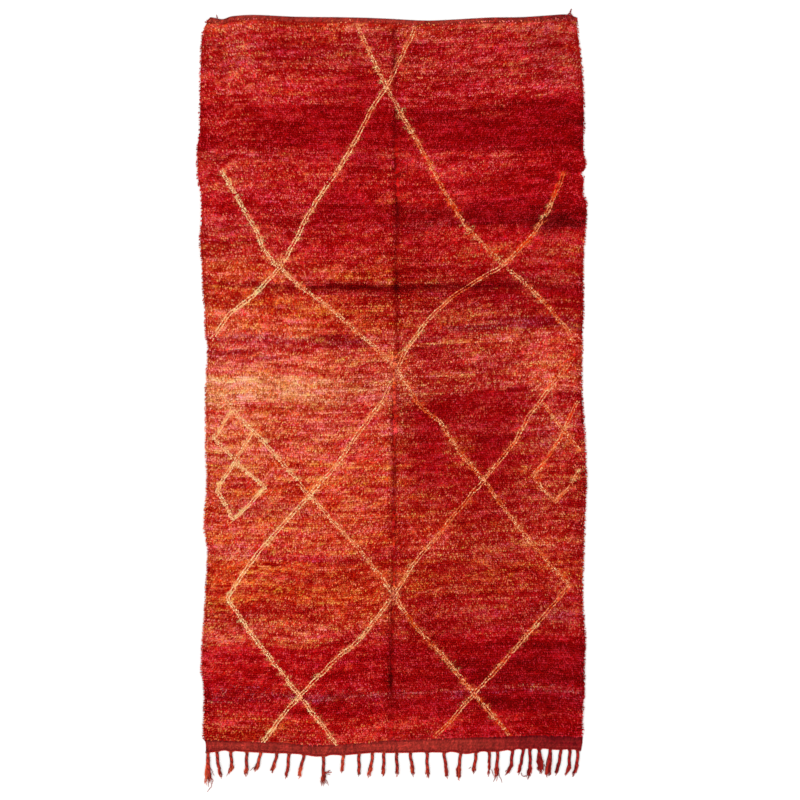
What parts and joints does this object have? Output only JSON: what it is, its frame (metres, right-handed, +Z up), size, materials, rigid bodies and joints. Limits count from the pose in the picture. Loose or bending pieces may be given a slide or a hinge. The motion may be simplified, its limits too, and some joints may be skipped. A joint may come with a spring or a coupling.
{
  "type": "beni mguild rug",
  "caption": "Long hand-knotted wool pile rug lying flat, in red and orange bands with an open diamond lattice, flat-woven ends and a tasselled fringe at one end.",
  "frame": {"origin": "on the floor, under the middle of the rug's outline", "axes": "+X across the rug, +Y along it away from the fringe, +Z up out of the pile"},
  "size_m": [1.979, 3.8919, 0.0211],
  "materials": {
    "pile_wool": "deep wool pile, knotted in dye lots that shade from crimson to orange and salmon, with thin cream and orange lattice lines",
    "warp_wool": "twisted dark red wool warps, frayed at their ends"
  },
  "bodies": {
    "root": {"rug_body": "pile_wool", "fringe": "warp_wool"}
  },
  "joints": []
}
